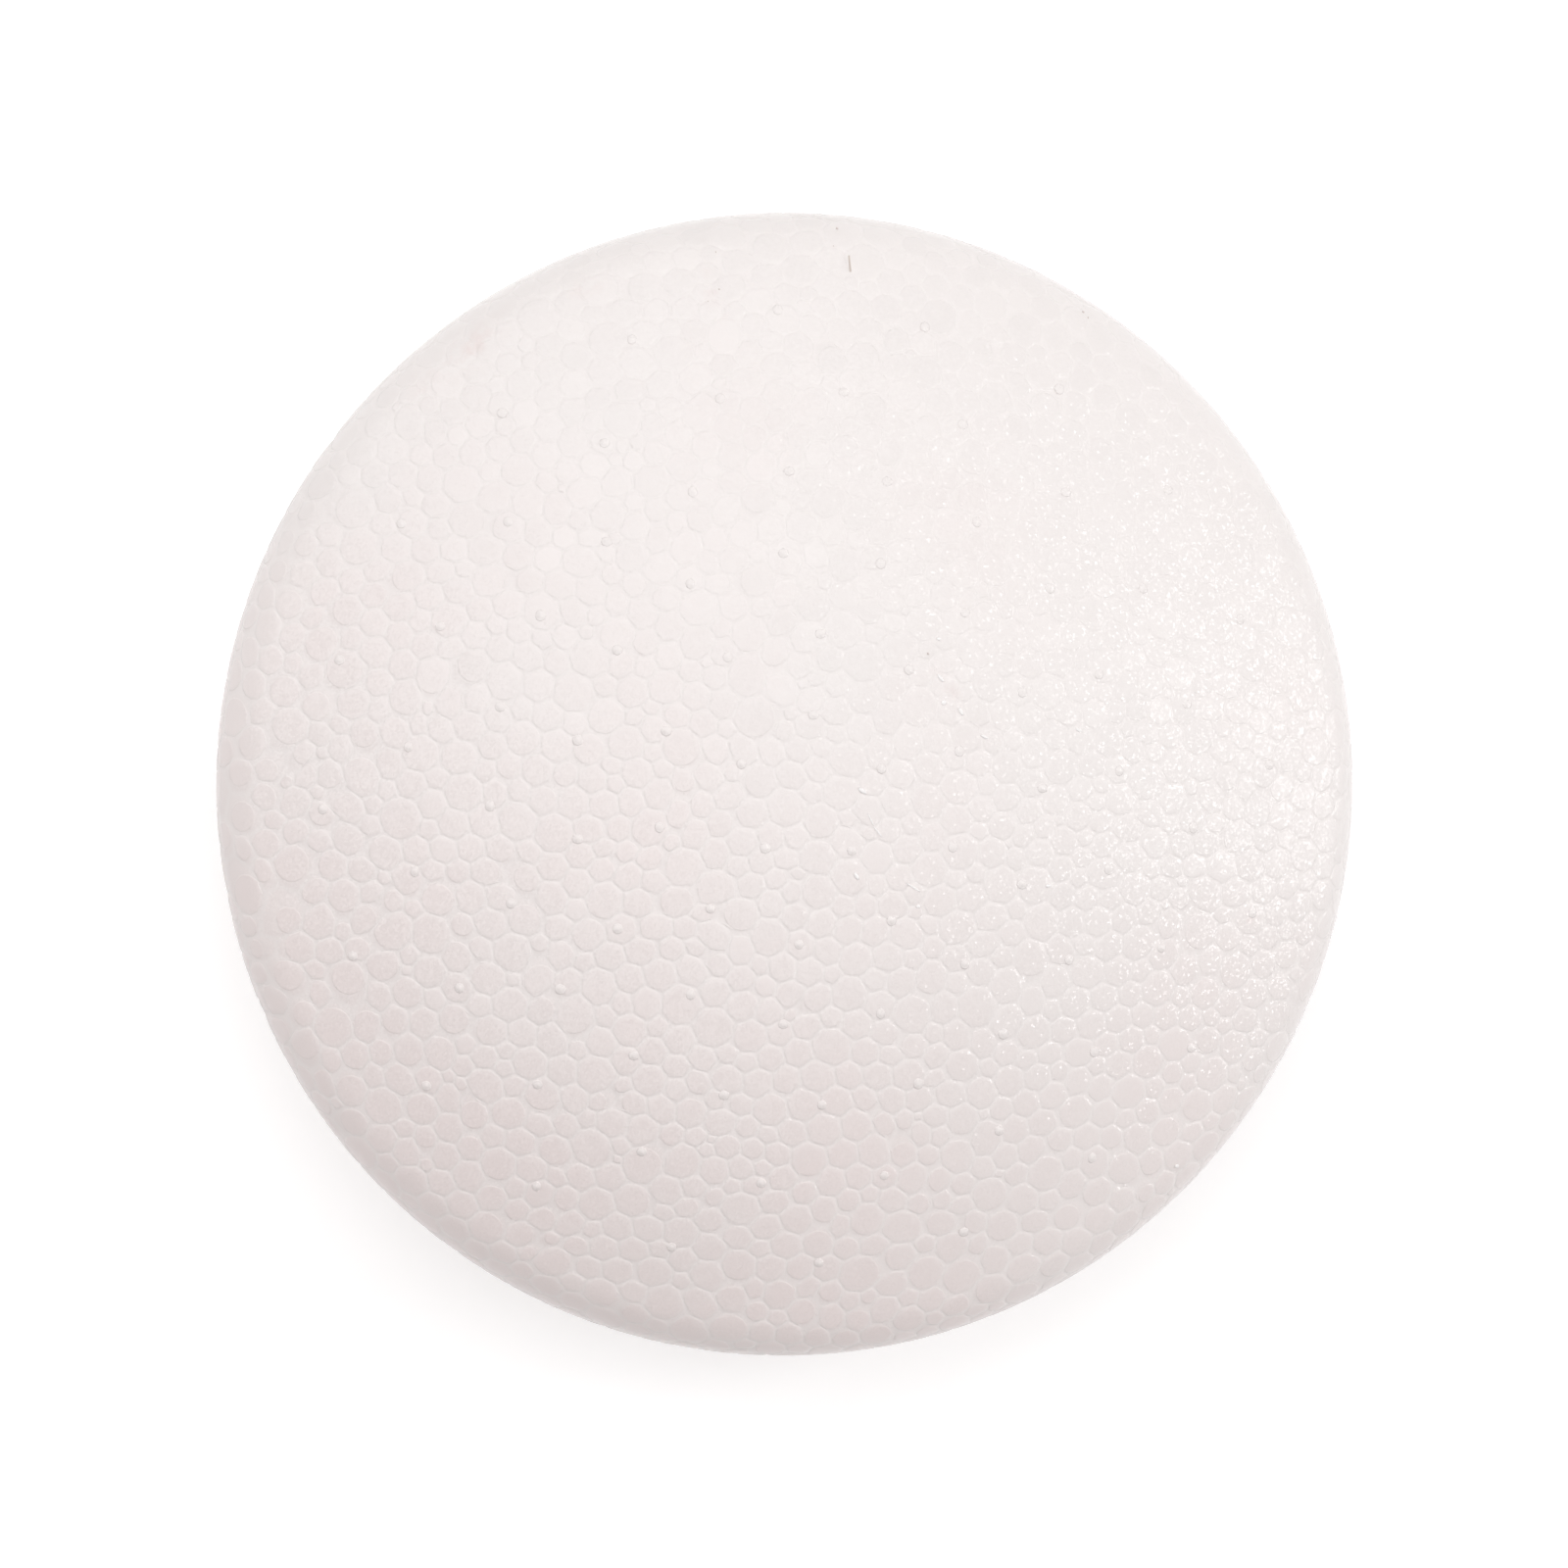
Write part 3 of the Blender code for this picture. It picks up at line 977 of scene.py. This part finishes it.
class FOAM_OT_studio(bpy.types.Operator):
    """Set up the floor, the soft lights and the camera"""

    bl_idname = "foam.studio"
    bl_label = "Studio"

    def execute(self, context):
        studio = context.scene.foam_studio
        add_floor(studio)
        add_world(studio)
        centre = Vector((0, 0, MIDDLE_HEIGHT))
        # Each lamp's elevation and bearing in degrees, its side in metres and its power
        lamps = {
            "overhead_softbox": (80, 180, 1.2, studio.overhead_power),
            "key_softbox": (45, 120, 1.2, studio.key_power),
            "side_softbox": (19, 0, 0.3, studio.side_power),
            "spark_lamp": (45, 12, 0.2, studio.spark_power),
        }
        for name, lamp in lamps.items():
            add_softbox(name, centre, *lamp)
        add_camera(studio, centre)
        context.scene.view_settings.view_transform = "Standard"
        return {"FINISHED"}


def direction(elevation, bearing):
    """Unit vector at an elevation above the floor and a bearing from +X towards +Y, in radians."""
    flat = math.cos(elevation)
    return Vector((flat * math.cos(bearing), flat * math.sin(bearing), math.sin(elevation)))


def seen_directly(tree):
    """1 where the camera looks, also in a reflection or through glass, and 0 for all other light."""
    rays = add_node(tree, "ShaderNodeLightPath").outputs
    seen = rays["Is Camera Ray"]
    for kind in ("Is Glossy Ray", "Is Transmission Ray"):
        seen = add_node(tree, "ShaderNodeMath", {0: seen, 1: rays[kind]}, operation="MAXIMUM")
    return seen


def add_floor(studio):
    """Matt white paper. What the camera sees of it gets a little more light, so that it reads as white."""
    material, tree = shader_tree("white_paper_floor")
    paper = add_node(tree, "ShaderNodeBsdfDiffuse", {"Color": studio.floor[:]})
    more = add_node(
        tree, "ShaderNodeMath", {0: seen_directly(tree), 1: studio.floor_glow}, operation="MULTIPLY"
    )
    glow = add_node(tree, "ShaderNodeEmission", {"Strength": more})
    both = add_node(tree, "ShaderNodeAddShader", {0: paper, 1: glow})
    add_node(tree, "ShaderNodeOutputMaterial", {"Surface": both})
    half_side = 3.0
    corners = [(x * half_side, y * half_side, 0) for x, y in ((-1, -1), (1, -1), (1, 1), (-1, 1))]
    mesh = bpy.data.meshes.new("floor")
    mesh.from_pydata(corners, [], [(0, 1, 2, 3)])
    mesh.materials.append(material)
    floor = bpy.data.objects.new("floor", mesh)
    bpy.context.scene.collection.objects.link(floor)


def add_world(studio):
    """Even light from all round, and plain white wherever the camera or a reflection sees it."""
    world = bpy.data.worlds.new("studio")
    bpy.context.scene.world = world
    world.use_nodes = True
    tree = world.node_tree
    tree.nodes.clear()
    light = add_node(tree, "ShaderNodeBackground", {"Color": studio.fill[:], "Strength": studio.ambient})
    white = add_node(tree, "ShaderNodeBackground", {"Color": (1, 1, 1, 1), "Strength": 1.0})
    mixed = add_node(tree, "ShaderNodeMixShader", {0: seen_directly(tree), 1: light, 2: white})
    add_node(tree, "ShaderNodeOutputWorld", {"Surface": mixed})


def add_softbox(name, target, elevation, bearing, side, power):
    """A square lamp that faces the target, at angles in degrees."""
    distance = 0.9
    light = bpy.data.lights.new(name, "AREA")
    light.size = side
    light.energy = power
    lamp = bpy.data.objects.new(name, light)
    bpy.context.scene.collection.objects.link(lamp)
    back = direction(math.radians(elevation), math.radians(bearing))
    lamp.location = target + back * distance
    lamp.rotation_euler = (-back).to_track_quat("-Z", "Y").to_euler()
    lamp.visible_camera = False


def add_camera(studio, target):
    """A long lens that looks down on the medallion, with +X to the right and +Y up in the picture."""
    camera = bpy.data.cameras.new("camera")
    holder = bpy.data.objects.new("camera", camera)
    bpy.context.scene.collection.objects.link(holder)
    back = direction(math.pi / 2 - studio.camera_tilt, studio.camera_bearing)
    right = Vector((0, 1, 0)).cross(back).normalized()
    turn = Matrix((right, back.cross(right), back)).transposed()
    holder.matrix_world = Matrix.Translation(target + back * studio.camera_distance) @ turn.to_4x4()
    bpy.context.scene.camera = holder
    # The lens and a slight shift put the disc's edge where the photograph has it
    steps = 72
    edge = [target + DISC_RADIUS * direction(0, math.tau * step / steps) for step in range(steps)]
    seen = [holder.matrix_world.inverted() @ point for point in edge]
    spans = [sorted(point[axis] / -point.z for point in seen) for axis in (0, 1)]
    widest = max(span[-1] - span[0] for span in spans)
    camera.lens = camera.sensor_width * PHOTO_DISC_DIAMETER / PHOTO_SIDE / widest
    focal = camera.lens / camera.sensor_width
    camera.shift_x, camera.shift_y = (focal * (span[0] + span[-1]) / 2 for span in spans)


class FOAM_PT_medallion(bpy.types.Panel):
    bl_label = "Foam Medallion"
    bl_space_type = "VIEW_3D"
    bl_region_type = "UI"
    bl_category = "Foam"

    def draw(self, context):
        for operator in OPERATORS:
            self.layout.operator(operator.bl_idname)


SETTINGS = {
    "foam_beads": BeadSettings,
    "foam_nubs": NubSettings,
    "foam_finish": FinishSettings,
    "foam_studio": StudioSettings,
}
OPERATORS = (FOAM_OT_studio, FOAM_OT_bead_skin, FOAM_OT_vent_nubs, FOAM_OT_torn_skin, FOAM_OT_dirt)


def register():
    for kind in (*SETTINGS.values(), *OPERATORS, FOAM_PT_medallion):
        bpy.utils.register_class(kind)
    for name, kind in SETTINGS.items():
        setattr(bpy.types.Scene, name, PointerProperty(type=kind))


def unregister():
    for name in SETTINGS:
        delattr(bpy.types.Scene, name)
    for kind in reversed((*SETTINGS.values(), *OPERATORS, FOAM_PT_medallion)):
        bpy.utils.unregister_class(kind)


def main():
    register()
    bpy.ops.foam.studio()
    bpy.ops.foam.bead_skin()
    bpy.ops.foam.vent_nubs()
    bpy.ops.foam.torn_skin()
    bpy.ops.foam.dirt()


if __name__ == "__main__":
    main()
